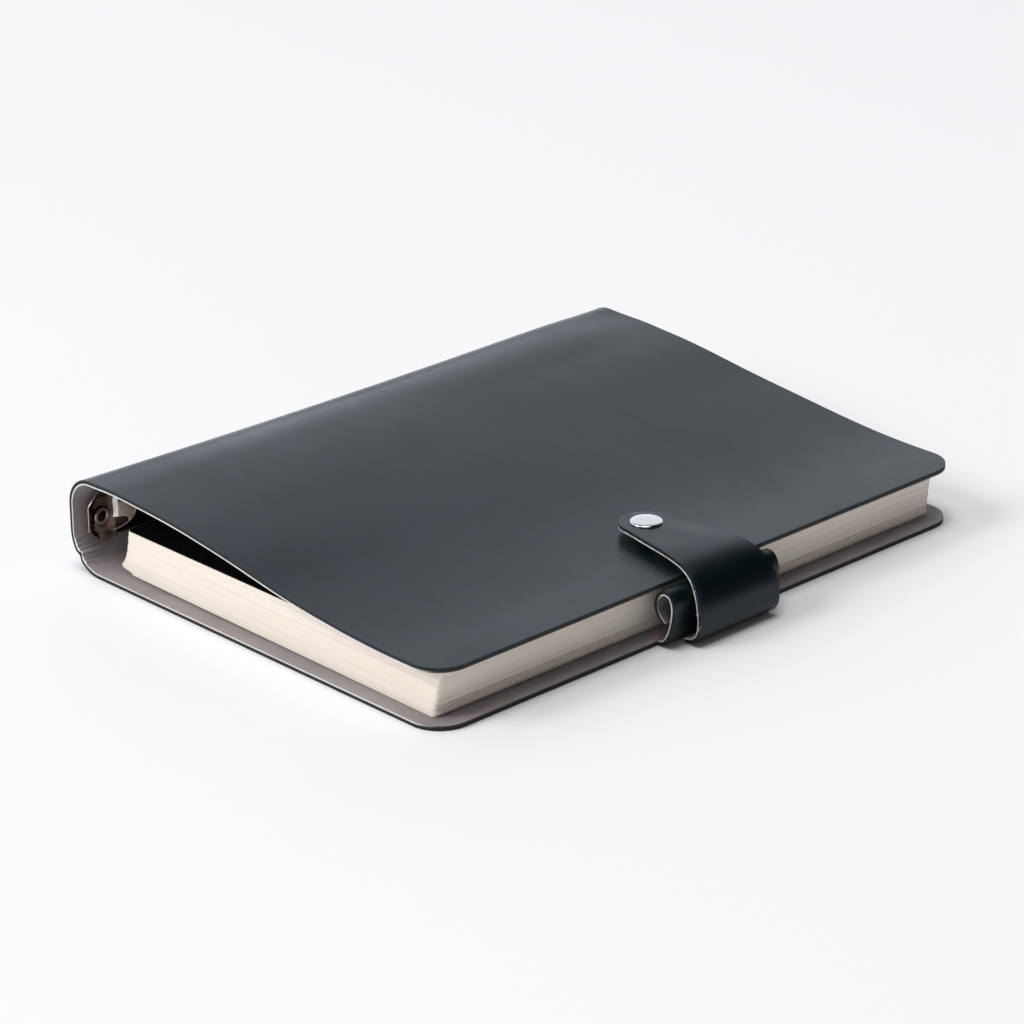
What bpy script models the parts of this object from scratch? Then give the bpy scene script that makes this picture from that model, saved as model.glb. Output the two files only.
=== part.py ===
"""A soft A5 six-ring binder, closed: one leather sheet with a lining wraps the spine, a ring
mechanism holds page blocks, and a strap with a snap closes it over a pen loop.

Frame: origin at the middle of the back cover's underside, +X towards the fore edge,
+Y along the spine, +Z up. Sizes below are millimetres.
"""
import math

import bmesh
import bpy
from mathutils import Vector

MM = 0.001

# the cover sheet, closed
LENGTH = 222.0          # along the spine
WIDTH = 165.0           # spine to fore edge
HEIGHT = 31.2           # table to the top of the spine
FORE_Z = 19.4           # outer skin of the front cover where it lies on the pages
FALL_WIDTH = 138.5      # stretch over which the front cover comes down from the spine
CORNER_R = 10.5         # rounded fore corners
BEND_LOW_R = 13.0       # spine bends, outer skin
BEND_TOP_R = 10.0
SPLIT = 0.4             # clearance where two bodies of the sheet meet in a bend
LEATHER = (0.0, 0.8)    # depth of each layer below the outer skin
LINING = (1.1, 1.5)
GAP = 0.3

HALF_L = LENGTH / 2
SPINE_X = -WIDTH / 2
FORE_X = WIDTH / 2
LOW_CENTRE = (SPINE_X + BEND_LOW_R, BEND_LOW_R)
TOP_CENTRE = (SPINE_X + BEND_TOP_R, HEIGHT - BEND_TOP_R)

# ring mechanism on the inside of the spine
RING_CENTRE = (-61.5, 15.8)
RING_R = 11.1           # to the middle of the wire
WIRE_R = 1.1
RING_Y = (-73.0, -54.0, -35.0, 35.0, 54.0, 73.0)
RING_TIP_GAP = 0.35
LEG_FOOT = (-16.4, 6.0)  # foot of a ring's leg, from the ring centre
PLATE_BASE_X = -79.3
PLATE_RISE = 4.0
PLATE_HALF = 8.0
PLATE_T = 0.7
PLATE_SHAPE = 2.6       # how square the arch's shoulders are
ARCH_HALF_L = 95.5
TAB_END = 107.6
TAB_CHAMFER = 3.9
RIVET_Y = 102.3
BLADE_T = 0.5
BLADE_HALF_L = 90.0
BLADE_PIVOT = (-79.0, 6.5)   # x, and distance from the ring plane
BLADE_INNER = (-77.6, 0.25)  # the blade's middle where the two blades meet
BLADE_OUTER = (-79.0, 6.3)

# page blocks: (name, bottom, top, spine edge)
PAGE_HALF_L = 105.0
PAGE_FORE_X = 76.0
LOWER_BLOCKS = (
    ("page_block_lower_1", 2.5, 5.0, -63.8),
    ("page_block_lower_2", 5.3, 7.8, -64.4),
    ("page_block_lower_3", 8.1, 10.6, -63.2),
)
UPPER_BLOCKS = (
    ("page_block_upper_1", 10.9, 13.8, -62.5),
    ("page_block_upper_2", 14.1, 16.6, -62.2),
    ("fly_sheet", 16.85, 17.2, -62.0),
)
PAGE_SLOT_HALF = 2.75
SLOT_INSIDE = 0.4       # room for the wire inside the ring's circle
SLOT_OUTSIDE = 1.9      # and outside it, where an opening ring half swings

# pen loop and strap at the fore edge, outer skins as seen from the near end
LOOP_HALF = 22.3
LOOP_MIDDLE = -1.3
LOOP_POINTS = (
    (FORE_X + 0.6, 0.0), (85.2, 0.9), (87.2, 3.4), (88.5, 7.0), (89.2, 11.0), (89.1, 14.4),
    (87.6, 17.2), (85.2, 18.1), (82.9, 17.3), (81.2, 14.9), (80.9, 12.0), (82.1, 9.3),
    (84.2, 7.3),
)
STRAP_TOP_Z = 23.6
STRAP_POINTS = (
    (87.2, 0.15), (90.4, 1.1), (92.5, 3.2), (93.4, 6.6), (93.1, 11.2), (91.3, 15.7),
    (87.9, 19.9), (83.2, 22.5), (76.5, 23.4), (68.0, STRAP_TOP_Z), (60.0, STRAP_TOP_Z),
)
STRAP_FOLD = 5.3        # place of the strap's fold, counted in the points above
SNAP_X = 54.4
STRAP_TIP_R = 8.3
STRAP_HALF = 16.8
STRAP_TAPER = 46.0      # length over which the strap widens from its tip
FOLD_SHARE = 0.6        # how far each millimetre of drop at the fold counts towards it

# snap fastener, heights on its vertical axis
CAP_R, CAP_Z = 5.0, (23.8, 24.1, 24.4)
CAP_SHANK_R = 1.5
CAP_SHANK_FOOT = 22.15
SOCKET_R, SOCKET_BORE, SOCKET_Z = 4.2, 2.4, (21.2, 21.85)
STUD_R, STUD_Z = 4.0, (19.95, 20.25)
STUD_HEAD_R, STUD_TOP = 2.0, 21.8
POST_R, POST_Z = 4.5, (17.5, 18.0)
POST_SHANK_R, POST_TOP = 1.5, 19.75
SNAP_HOLE_R = 1.9

# mounting rivets through the spine
RIVET_SHANK_R, RIVET_BORE_R = 1.95, 1.2
RIVET_HEAD_R, RIVET_FLANGE_R = 4.0, 3.0
RIVET_HOLE_R = 2.3

SEGMENTS = 24

# hinge axes run along Y: (x, z)
SPINE_AXIS = (LOW_CENTRE[0] - BEND_LOW_R * math.sqrt(0.5), LOW_CENTRE[1] - BEND_LOW_R * math.sqrt(0.5))
COVER_AXIS = (TOP_CENTRE[0] - BEND_TOP_R * math.sqrt(0.5), TOP_CENTRE[1] + BEND_TOP_R * math.sqrt(0.5))
STRAP_AXIS = (87.6, 1.7)

MATERIALS = {
    "leather": ((0.006, 0.016, 0.018, 1.0), 0.42, 0.0),
    "lining": ((0.26, 0.225, 0.235, 1.0), 0.9, 0.0),
    "nickel": ((0.62, 0.58, 0.53, 1.0), 0.28, 1.0),
    "chrome": ((0.86, 0.86, 0.86, 1.0), 0.12, 1.0),
    "paper": ((0.86, 0.79, 0.68, 1.0), 0.92, 0.0),
    "card": ((0.008, 0.008, 0.009, 1.0), 0.8, 0.0),
}
materials = {}
pivots = {}


def clear_scene():
    for obj in list(bpy.data.objects):
        bpy.data.objects.remove(obj, do_unlink=True)


def make_materials():
    for name, (colour, roughness, metallic) in MATERIALS.items():
        material = bpy.data.materials.new(name)
        material.use_nodes = True
        shader = material.node_tree.nodes["Principled BSDF"]
        shader.inputs["Base Color"].default_value = colour
        shader.inputs["Roughness"].default_value = roughness
        shader.inputs["Metallic"].default_value = metallic
        materials[name] = material


def add_pivot(name, axis, parent=None):
    """An empty on a joint's axis, that the body's pieces hang from."""
    empty = bpy.data.objects.new(name, None)
    bpy.context.collection.objects.link(empty)
    place = Vector((axis[0] * MM, 0.0, axis[1] * MM))
    above = pivots[parent][1] if parent else Vector()
    empty.parent = pivots[parent][0] if parent else None
    empty.location = place - above
    pivots[name] = (empty, place)


def add_object(name, bm, material, body, smooth=False):
    """Finish a bmesh given in millimetres as an object that hangs from its body's pivot."""
    bmesh.ops.recalc_face_normals(bm, faces=bm.faces)
    mesh = bpy.data.meshes.new(name)
    bm.to_mesh(mesh)
    bm.free()
    pivot, place = pivots.get(body, (None, Vector()))
    for vertex in mesh.vertices:
        vertex.co = vertex.co * MM - place
    if smooth:
        mesh.shade_smooth()
        mesh.set_sharp_from_angle(angle=math.radians(35))
    obj = bpy.data.objects.new(name, mesh)
    obj.parent = pivot
    if material:
        mesh.materials.append(materials[material])
    bpy.context.collection.objects.link(obj)
    return obj


def loft(sections):
    """A closed body through rings of points that all have the same count."""
    bm = bmesh.new()
    rings = [[bm.verts.new(point) for point in section] for section in sections]
    for low, high in zip(rings, rings[1:]):
        for i in range(len(low)):
            j = (i + 1) % len(low)
            bm.faces.new((low[i], low[j], high[j], high[i]))
    bm.faces.new(rings[0])
    bm.faces.new(rings[-1])
    return bm


def prism_y(outline, y_low, y_high):
    return loft([[(x, y, z) for x, z in outline] for y in (y_low, y_high)])


def turned(profile, centre, axis="Z"):
    """A round piece: profile is (radius, height) pairs from bottom to top, closed on the axis."""
    sections = []
    for radius, height in profile:
        ring = []
        for i in range(SEGMENTS):
            a = 2 * math.pi * i / SEGMENTS
            across, along = radius * math.cos(a), radius * math.sin(a)
            if axis == "Z":
                ring.append((centre[0] + across, centre[1] + along, height))
            else:
                ring.append((height, centre[0] + across, centre[1] + along))
        sections.append(ring)
    return loft(sections)


def join(*parts):
    """Several closed bodies in one bmesh, as a cutter."""
    whole = bmesh.new()
    for part in parts:
        mesh = bpy.data.meshes.new("part")
        bmesh.ops.recalc_face_normals(part, faces=part.faces)
        part.to_mesh(mesh)
        part.free()
        whole.from_mesh(mesh)
        bpy.data.meshes.remove(mesh)
    return whole


def apply_tool(obj, name, bm, body, operation="DIFFERENCE"):
    tool = add_object(name, bm, None, body)
    tool.hide_render = True
    tool.display_type = "WIRE"
    modifier = obj.modifiers.new(name, "BOOLEAN")
    modifier.operation = operation
    modifier.object = tool
    return tool


def smoothstep(value):
    t = min(max(value, 0.0), 1.0)
    return t * t * (3 - 2 * t)


def arc(centre, radius, start, end, steps):
    """Points on a circle between two angles in degrees."""
    angles = [math.radians(start + (end - start) * i / steps) for i in range(steps + 1)]
    return [(centre[0] + radius * math.cos(a), centre[1] + radius * math.sin(a)) for a in angles]


def curve_point(points, place):
    """A point on the smooth curve through the given points; place counts in points."""
    i = min(int(place), len(points) - 2)
    t = place - i
    before, p, q = points[max(i - 1, 0)], points[i], points[i + 1]
    after = points[min(i + 2, len(points) - 1)]
    return tuple(
        0.5 * (2 * p[k] + (q[k] - before[k]) * t
               + (2 * before[k] - 5 * p[k] + 4 * q[k] - after[k]) * t * t
               + (3 * p[k] - before[k] - 3 * q[k] + after[k]) * t * t * t)
        for k in (0, 1)
    )


def curve(points, start=0.0, end=None, per_point=3):
    end = len(points) - 1 if end is None else end
    steps = max(1, round((end - start) * per_point))
    return [curve_point(points, start + (end - start) * i / steps) for i in range(steps + 1)]


def inward(path, i):
    """The normal to the left of the path, which runs from the front cover round the spine."""
    (x0, z0), (x1, z1) = path[max(i - 1, 0)], path[min(i + 1, len(path) - 1)]
    length = math.hypot(x1 - x0, z1 - z0)
    return (-(z1 - z0) / length, (x1 - x0) / length)


def sheet(path, layer, half_widths, middle=0.0):
    """One layer of a bent sheet whose outer skin follows path."""
    sections = []
    for i, (x, z) in enumerate(path):
        nx, nz = inward(path, i)
        outer = (x + nx * layer[0], z + nz * layer[0])
        inner = (x + nx * layer[1], z + nz * layer[1])
        low, high = middle - half_widths[i], middle + half_widths[i]
        sections.append([(outer[0], low, outer[1]), (outer[0], high, outer[1]),
                         (inner[0], high, inner[1]), (inner[0], low, inner[1])])
    return loft(sections)


def add_layers(name, path, half_widths, body, middle=0.0):
    """The leather and its lining on one stretch of sheet."""
    skins = (("leather", LEATHER), ("lining", LINING))
    return [add_object(name + "_" + skin, sheet(path, layer, half_widths, middle), skin, body,
                       smooth=True) for skin, layer in skins]


def front_z(x):
    """Height of the front cover's outer skin."""
    return HEIGHT - (HEIGHT - FORE_Z) * smoothstep((x - TOP_CENTRE[0]) / FALL_WIDTH)


def cover_half(x):
    """Half length of a cover at x, with its fore corner rounded."""
    past = x - (FORE_X - CORNER_R)
    if past <= 0:
        return HALF_L
    return HALF_L - CORNER_R + math.sqrt(max(CORNER_R ** 2 - past ** 2, 0.0))


def corner_stations():
    """Places across the fore corner, close together where it turns most."""
    start = FORE_X - CORNER_R
    return [start + CORNER_R * math.sin(math.radians(a)) for a in (90, 75, 60, 45, 30, 15)]


def split_angle(radius):
    return math.degrees(SPLIT / 2 / radius)


def add_cover():
    xs = corner_stations()
    top_xs = xs + [FORE_X - CORNER_R - i * 9.65 for i in range(15)] + [TOP_CENTRE[0]]
    top = [(x, front_z(x)) for x in top_xs]
    top += arc(TOP_CENTRE, BEND_TOP_R, 90, 135 - split_angle(BEND_TOP_R), 5)[1:]
    front = add_layers("front_cover", top, [cover_half(x) for x, _ in top], "front_cover_pivot")

    spine = arc(TOP_CENTRE, BEND_TOP_R, 135 + split_angle(BEND_TOP_R), 180, 5)
    spine += [(SPINE_X, (TOP_CENTRE[1] + LOW_CENTRE[1]) / 2)]
    spine += arc(LOW_CENTRE, BEND_LOW_R, 180, 225 - split_angle(BEND_LOW_R), 6)
    back_strip = add_layers("spine", spine, [HALF_L] * len(spine), "spine_pivot")

    bottom = arc(LOW_CENTRE, BEND_LOW_R, 225 + split_angle(BEND_LOW_R), 270, 6)
    bottom += [(FORE_X - CORNER_R, 0.0)] + [(x, 0.0) for x in reversed(xs)]
    add_layers("back_cover", bottom, [cover_half(x) for x, _ in bottom], None)

    for layer in front:
        hole = turned(((SNAP_HOLE_R, 15.0), (SNAP_HOLE_R, 25.0)), (SNAP_X, 0.0))
        apply_tool(layer, layer.name + "_hole", hole, "front_cover_pivot")
    for layer in back_strip:
        holes = join(*(turned(((RIVET_HOLE_R, -85.0), (RIVET_HOLE_R, -76.0)),
                              (y, RING_CENTRE[1]), "X") for y in (-RIVET_Y, RIVET_Y)))
        apply_tool(layer, layer.name + "_holes", holes, "spine_pivot")


def plate_profile(inset, steps=14):
    """The arch of the mechanism's cover plate across the spine, as (x, distance from middle)."""
    half, rise = PLATE_HALF - inset, PLATE_RISE - inset
    points = []
    for i in range(steps + 1):
        across = -math.cos(math.pi * i / steps)
        height = (1 - abs(across) ** PLATE_SHAPE) ** 0.5 if abs(across) < 1 else 0.0
        points.append((PLATE_BASE_X + rise * height, RING_CENTRE[1] + half * across))
    return points


def ring_leg_start():
    """Angle on the ring where its straight leg leaves, tangent to the circle."""
    reach = math.hypot(*LEG_FOOT)
    return math.degrees(math.atan2(LEG_FOOT[1], LEG_FOOT[0]) - math.acos(RING_R / reach))


def add_mechanism():
    outline = plate_profile(0.0) + list(reversed(plate_profile(PLATE_T)))
    plate = add_object("mechanism_plate", prism_y(outline, -ARCH_HALF_L, ARCH_HALF_L),
                       "nickel", "spine_pivot", smooth=True)
    tabs = []
    for side in (-1, 1):
        z, half = RING_CENTRE[1], PLATE_HALF
        root, shoulder, end = ARCH_HALF_L - 2.0, TAB_END - TAB_CHAMFER, TAB_END
        octagon = [(root, -half), (shoulder, -half), (end, -half + TAB_CHAMFER),
                   (end, half - TAB_CHAMFER), (shoulder, half), (root, half)]
        tabs.append(loft([[(x, side * y, z + dz) for y, dz in octagon]
                          for x in (PLATE_BASE_X, PLATE_BASE_X + PLATE_T)]))
    apply_tool(plate, "plate_tabs", join(*tabs), "spine_pivot", "UNION")
    slots = []
    for y in RING_Y:
        for side in (-1, 1):
            z0, z1 = (RING_CENTRE[1] + side * d for d in (4.6, 9.0))
            box = [(-78.5, z0), (-72.0, z0), (-72.0, z1), (-78.5, z1)]
            slots.append(prism_y(box, y - 1.8, y + 1.8))
    for y in (-RIVET_Y, RIVET_Y):
        slots.append(turned(((RIVET_HOLE_R, -82.0), (RIVET_HOLE_R, -76.0)), (y, RING_CENTRE[1]), "X"))
    apply_tool(plate, "plate_slots", join(*slots), "spine_pivot")

    head = SPINE_X - GAP
    face = PLATE_BASE_X + PLATE_T + GAP
    for y, name in ((-RIVET_Y, "near"), (RIVET_Y, "far")):
        profile = [(RIVET_HEAD_R - 0.6, head - 0.5), (RIVET_HEAD_R, head - 0.2), (RIVET_HEAD_R, head),
                   (RIVET_SHANK_R, head), (RIVET_SHANK_R, face), (RIVET_FLANGE_R, face),
                   (RIVET_FLANGE_R, face + 0.2), (RIVET_BORE_R + 0.5, face + 0.5),
                   (RIVET_BORE_R, face + 0.2), (RIVET_BORE_R, head + 0.4)]
        add_object("mounting_rivet_" + name, turned(profile, (y, RING_CENTRE[1]), "X"),
                   "nickel", "spine_pivot", smooth=True)


def add_rings():
    leg = ring_leg_start()
    tip = math.degrees(RING_TIP_GAP / 2 / RING_R)
    cx, cz = RING_CENTRE
    for half, sign in (("upper", 1), ("lower", -1)):
        body = "ring_" + half + "_pivot"
        path = arc((0.0, 0.0), RING_R, tip, leg, 13)
        path += [((path[-1][0] + LEG_FOOT[0]) / 2, (path[-1][1] + LEG_FOOT[1]) / 2), LEG_FOOT]
        for number, y in enumerate(RING_Y, 1):
            sections = []
            for i, (x, z) in enumerate(path):
                nx, nz = inward(path, i)
                sections.append([
                    (cx + x + nx * WIRE_R * math.cos(a), y + WIRE_R * math.sin(a),
                     cz + sign * (z + nz * WIRE_R * math.cos(a)))
                    for a in (2 * math.pi * k / 8 for k in range(8))])
            add_object("ring_%s_%d" % (half, number), loft(sections), "nickel", body, smooth=True)
        inner, outer = BLADE_INNER, BLADE_OUTER
        top, bottom = BLADE_T / 2, -BLADE_T / 2
        outline = [(inner[0] + top, inner[1]), (outer[0] + top, outer[1]),
                   (outer[0] + bottom, outer[1]), (inner[0] + bottom, inner[1])]
        outline = [(x, cz + sign * z) for x, z in outline]
        add_object("ring_blade_" + half, prism_y(outline, -BLADE_HALF_L, BLADE_HALF_L), "nickel", body)


def ring_channel(lower):
    """Outline of the room that a ring, and for the lower pages its leg, sweeps through."""
    cx, cz = RING_CENTRE
    inner, outer = RING_R - WIRE_R - SLOT_INSIDE, RING_R + WIRE_R + SLOT_OUTSIDE
    if not lower:
        return arc(RING_CENTRE, inner, 50, -50, 10) + arc(RING_CENTRE, outer, -50, 50, 10)
    margin = WIRE_R + SLOT_OUTSIDE
    leg_top = math.radians(ring_leg_start())
    tangent = (RING_R * math.sin(leg_top), RING_R * math.cos(leg_top))
    foot = (LEG_FOOT[1], LEG_FOOT[0])
    floor = cz + foot[1] - 3.0
    points = arc(RING_CENTRE, inner, 50, -125, 16)
    points += [(cx - 12.0, floor), (cx + foot[0] + margin, floor)]
    points += [(cx + foot[0] + margin, cz + foot[1]), (cx + tangent[0] + margin, cz + tangent[1])]
    return points + arc(RING_CENTRE, outer, math.degrees(math.atan2(tangent[1], tangent[0])) + 12, 50, 6)


def add_pages():
    for blocks, body, lower in ((LOWER_BLOCKS, "pages_lower_pivot", True),
                                (UPPER_BLOCKS, "pages_upper_pivot", False)):
        for name, bottom, top, edge in blocks:
            outline = [(edge, bottom), (PAGE_FORE_X, bottom), (PAGE_FORE_X, top), (edge, top)]
            stock = "card" if name == "fly_sheet" else "paper"
            block = add_object(name, prism_y(outline, -PAGE_HALF_L, PAGE_HALF_L), stock, body)
            holes = join(*(prism_y(ring_channel(lower), y - PAGE_SLOT_HALF, y + PAGE_SLOT_HALF)
                           for y in RING_Y))
            apply_tool(block, name + "_holes", holes, body)


def strap_half(x, z):
    """Half width of the strap: a round tip at the snap that flares towards the fold."""
    if x < SNAP_X and z > STRAP_TOP_Z - 1:
        return max(math.sqrt(max(STRAP_TIP_R ** 2 - (SNAP_X - x) ** 2, 0.0)), 1.5)
    along = x - SNAP_X + FOLD_SHARE * (STRAP_TOP_Z - z)
    return STRAP_TIP_R + (STRAP_HALF - STRAP_TIP_R) * min(along / STRAP_TAPER, 1.0)


def add_loop_and_strap():
    loop = curve(LOOP_POINTS)
    add_layers("pen_loop", loop, [LOOP_HALF] * len(loop), None, LOOP_MIDDLE)
    clearance = SPLIT / 2 / 4.0
    low = curve(STRAP_POINTS, 0.0, STRAP_FOLD - clearance)
    high = curve(STRAP_POINTS, STRAP_FOLD + clearance)
    high += [(SNAP_X - STRAP_TIP_R * math.sin(math.radians(a)), STRAP_TOP_Z)
             for a in (0, 15, 30, 45, 60, 72, 82)]
    add_layers("strap_base", low, [strap_half(x, z) for x, z in low], "strap_base_pivot")
    flap = add_layers("strap_flap", high, [strap_half(x, z) for x, z in high], "strap_flap_pivot")
    for layer in flap:
        hole = turned(((SNAP_HOLE_R, 19.0), (SNAP_HOLE_R, 25.0)), (SNAP_X, 0.0))
        apply_tool(layer, layer.name + "_hole", hole, "strap_flap_pivot")


def add_snap():
    centre = (SNAP_X, 0.0)
    cap = [(CAP_SHANK_R, CAP_SHANK_FOOT), (CAP_SHANK_R, CAP_Z[0]), (CAP_R, CAP_Z[0]),
           (CAP_R, CAP_Z[1]), (CAP_R * 0.86, CAP_Z[2] - 0.08), (CAP_R * 0.5, CAP_Z[2])]
    add_object("snap_cap", turned(cap, centre), "chrome", "strap_flap_pivot", smooth=True)
    socket = add_object("snap_socket", turned([(SOCKET_R, z) for z in SOCKET_Z], centre),
                        "nickel", "strap_flap_pivot", smooth=True)
    bore = turned([(SOCKET_BORE, SOCKET_Z[0] - 1), (SOCKET_BORE, SOCKET_Z[1] + 1)], centre)
    apply_tool(socket, "socket_bore", bore, "strap_flap_pivot")
    stud = [(STUD_R, STUD_Z[0]), (STUD_R, STUD_Z[1]), (STUD_HEAD_R * 0.85, STUD_Z[1]),
            (STUD_HEAD_R, STUD_TOP - 0.25), (STUD_HEAD_R * 0.7, STUD_TOP)]
    add_object("snap_stud", turned(stud, centre), "nickel", "front_cover_pivot", smooth=True)
    post = [(POST_R, POST_Z[0]), (POST_R, POST_Z[1]),
            (POST_SHANK_R, POST_Z[1]), (POST_SHANK_R, POST_TOP)]
    add_object("snap_post", turned(post, centre), "nickel", "front_cover_pivot", smooth=True)


def add_pivots():
    add_pivot("spine_pivot", SPINE_AXIS)
    add_pivot("front_cover_pivot", COVER_AXIS, "spine_pivot")
    for half, sign in (("upper", 1), ("lower", -1)):
        axis = (BLADE_PIVOT[0], RING_CENTRE[1] + sign * BLADE_PIVOT[1])
        add_pivot("ring_" + half + "_pivot", axis, "spine_pivot")
        add_pivot("pages_" + half + "_pivot", RING_CENTRE, "spine_pivot")
    add_pivot("strap_base_pivot", STRAP_AXIS)
    add_pivot("strap_flap_pivot", curve_point(STRAP_POINTS, STRAP_FOLD), "strap_base_pivot")


def main():
    clear_scene()
    make_materials()
    add_pivots()
    add_cover()
    add_mechanism()
    add_rings()
    add_pages()
    add_loop_and_strap()
    add_snap()
    bpy.context.view_layer.update()


main()
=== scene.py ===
"""The looks of a soft leather A5 ring binder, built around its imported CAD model.

Every length is in metres, in the CAD's frame: +X to the fore edge, +Y along the spine, +Z up.
"""
import math
import random
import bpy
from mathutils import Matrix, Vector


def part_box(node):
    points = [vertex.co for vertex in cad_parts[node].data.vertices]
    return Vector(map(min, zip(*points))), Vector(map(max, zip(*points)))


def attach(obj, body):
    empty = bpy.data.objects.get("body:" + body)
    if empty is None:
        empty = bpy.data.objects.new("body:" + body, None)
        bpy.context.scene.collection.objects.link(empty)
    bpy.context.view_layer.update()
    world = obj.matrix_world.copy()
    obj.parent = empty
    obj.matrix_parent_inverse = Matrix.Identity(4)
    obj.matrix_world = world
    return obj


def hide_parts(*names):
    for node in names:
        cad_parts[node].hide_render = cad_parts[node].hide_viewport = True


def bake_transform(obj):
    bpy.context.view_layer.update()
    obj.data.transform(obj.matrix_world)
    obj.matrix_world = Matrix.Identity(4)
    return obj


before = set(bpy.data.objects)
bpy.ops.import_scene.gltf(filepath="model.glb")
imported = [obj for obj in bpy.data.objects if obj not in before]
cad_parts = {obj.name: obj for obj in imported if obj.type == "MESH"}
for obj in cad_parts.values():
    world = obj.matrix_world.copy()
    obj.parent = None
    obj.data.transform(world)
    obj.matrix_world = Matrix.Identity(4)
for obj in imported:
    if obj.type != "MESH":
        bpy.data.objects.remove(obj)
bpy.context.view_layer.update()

import bmesh
import bpy
import numpy as np
from mathutils import Quaternion, Vector, noise

MM = 0.001

# ---------------------------------------------------------------- sizes, read from the frame
BACK_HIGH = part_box("back_cover_leather")[1]
HALF_L = BACK_HIGH.y / MM
FORE_X = BACK_HIGH.x / MM
SPINE_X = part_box("spine_leather")[0].x / MM
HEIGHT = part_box("front_cover_leather")[1].z / MM
FORE_Z = 19.4                       # top of the front cover at its fore edge
FALL_WIDTH = 138.5                  # the stretch over which the front cover falls to that height
CORNER_R = 10.5
BEND_LOW_R = 13.0                   # outside of the bend between back cover and spine
BEND_TOP_R = 10.0                   # outside of the bend between spine and front cover
LEATHER_T = 1.05
SHEET_T = 1.5                       # leather and lining together
LOW_CENTRE = (SPINE_X + BEND_LOW_R, BEND_LOW_R)
TOP_CENTRE = (SPINE_X + BEND_TOP_R, HEIGHT - BEND_TOP_R)
SPINE_MID_Z = (LOW_CENTRE[1] + TOP_CENTRE[1]) / 2

RING_CENTRE = (-61.5, 15.8)         # x and z
RING_R = 11.1                       # to the middle of the wire
WIRE_R = 1.1
LEG_FOOT = (-16.4, 6.0)             # where a half ring meets its blade, from the ring's centre
RING_Y = [(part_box("ring_upper_%d" % i)[0].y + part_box("ring_upper_%d" % i)[1].y) / 2 / MM
          for i in range(1, 7)]
PLATE_BASE_X, PLATE_RISE, PLATE_HALF = -79.3, 4.0, 8.0
PLATE_T, PLATE_SHAPE = 0.7, 2.6
PLATE_FOOT = PLATE_T + 0.25         # how high the domed ends start
ARCH_HALF_L, TAB_END, TAB_CHAMFER, RIVET_Y = 95.5, 107.6, 3.9, 102.3
TAB_HOLE_R = 2.2
DOME_FROM, DOME_LENGTH = 88.8, 9.6  # where the plate starts to round down, and over what length
MOUTH_Y, MOUTH_Z = 96.6, 12.6       # middle of the half-moon opening in each domed end
MOUTH_R = 2.9
SHADE_EDGE_FROM, SHADE_EDGE_BOW = 91.2, 0.17    # where the painted shade on the plate ends and the rolled lip sits, at mid height, and how that line bows outwards
LIP_R, LIP_SINK = 0.2, 0.12

PAGE_HALF_L, PAGE_FORE_X = 105.0, 75.2
PAGE_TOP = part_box("page_block_upper_2")[1].z / MM + 0.1
PAGE_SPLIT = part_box("page_block_lower_3")[1].z / MM + 0.15
PAGE_LOW = 1.62
PAGE_WIDTH = 138.2
PAGE_CORNER_R = 1.2
SHEETS = 104
SHEET_FILL = 0.975                  # a sheet's share of the pitch between sheets
DIVIDERS = (6, 13, 26)              # sheets of a darker stock
HOLE_X, HOLE_R = 9.0, 2.9           # a punched hole's distance from the spine edge, and its radius
PAGE_SWING = 13.5                   # from the rings' middle; the plate starts at 13.8
# spine edge of the paper at heights above the table: (height, x)
PAGE_EDGE = ((1.6, -63.6), (2.2, -64.4), (2.8, -65.8), (3.4, -66.2), (4.2, -65.7), (5.0, -64.9),
             (6.0, -64.2), (8.5, -63.5), (10.8, -63.1), (16.8, -62.4))

SNAP_X = (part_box("snap_cap")[0].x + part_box("snap_cap")[1].x) / 2 / MM
STRAP_TIP_R, STRAP_HALF = 8.3, 16.8
STRAP_TAPER, FOLD_SHARE = 46.0, 0.6     # the length it widens over, and how much a drop counts in it
STRAP_TOP_Z = 23.6
STRAP_POINTS = (
    (87.2, 0.15), (90.4, 1.1), (92.5, 3.2), (93.4, 6.6), (93.1, 11.2), (91.3, 15.7),
    (87.9, 19.9), (83.2, 22.5), (76.5, 23.4), (68.0, STRAP_TOP_Z), (60.0, STRAP_TOP_Z),
)
LOOP_HALF, LOOP_MIDDLE = 22.3, -1.3
LOOP_POINTS = (
    (FORE_X + 0.1, 0.0), (85.2, 0.9), (87.2, 3.4), (88.5, 7.0), (89.2, 11.0), (89.1, 14.4),
    (87.6, 17.2), (85.2, 18.1), (82.9, 17.3), (81.2, 14.9), (80.9, 12.0), (82.1, 9.3),
    (84.6, 7.0),
)


# ---------------------------------------------------------------- small maths
def smoothstep(value):
    """An even ramp from 0 to 1."""
    t = min(max(value, 0.0), 1.0)
    return t * t * (3 - 2 * t)


def bump_at(value, centre, width):
    """A soft bump of height 1."""
    return math.exp(-((value - centre) / width) ** 2)


def arc(centre, radius, start, end, steps):
    """Points on a circle between two angles in degrees."""
    angles = [math.radians(start + (end - start) * i / steps) for i in range(steps + 1)]
    return [(centre[0] + radius * math.cos(a), centre[1] + radius * math.sin(a)) for a in angles]


def curve_point(points, place):
    """A point on a Catmull-Rom curve; whole numbers of place are the given points."""
    i = min(int(place), len(points) - 2)
    t = place - i
    before, p, q = points[max(i - 1, 0)], points[i], points[i + 1]
    after = points[min(i + 2, len(points) - 1)]
    return tuple(
        0.5 * (2 * p[k] + (q[k] - before[k]) * t
               + (2 * before[k] - 5 * p[k] + 4 * q[k] - after[k]) * t * t
               + (3 * p[k] - before[k] - 3 * q[k] + after[k]) * t * t * t)
        for k in (0, 1)
    )


def curve(points, per_point=8):
    """A smooth path through the given points."""
    steps = (len(points) - 1) * per_point
    return [curve_point(points, (len(points) - 1) * i / steps) for i in range(steps + 1)]


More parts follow.
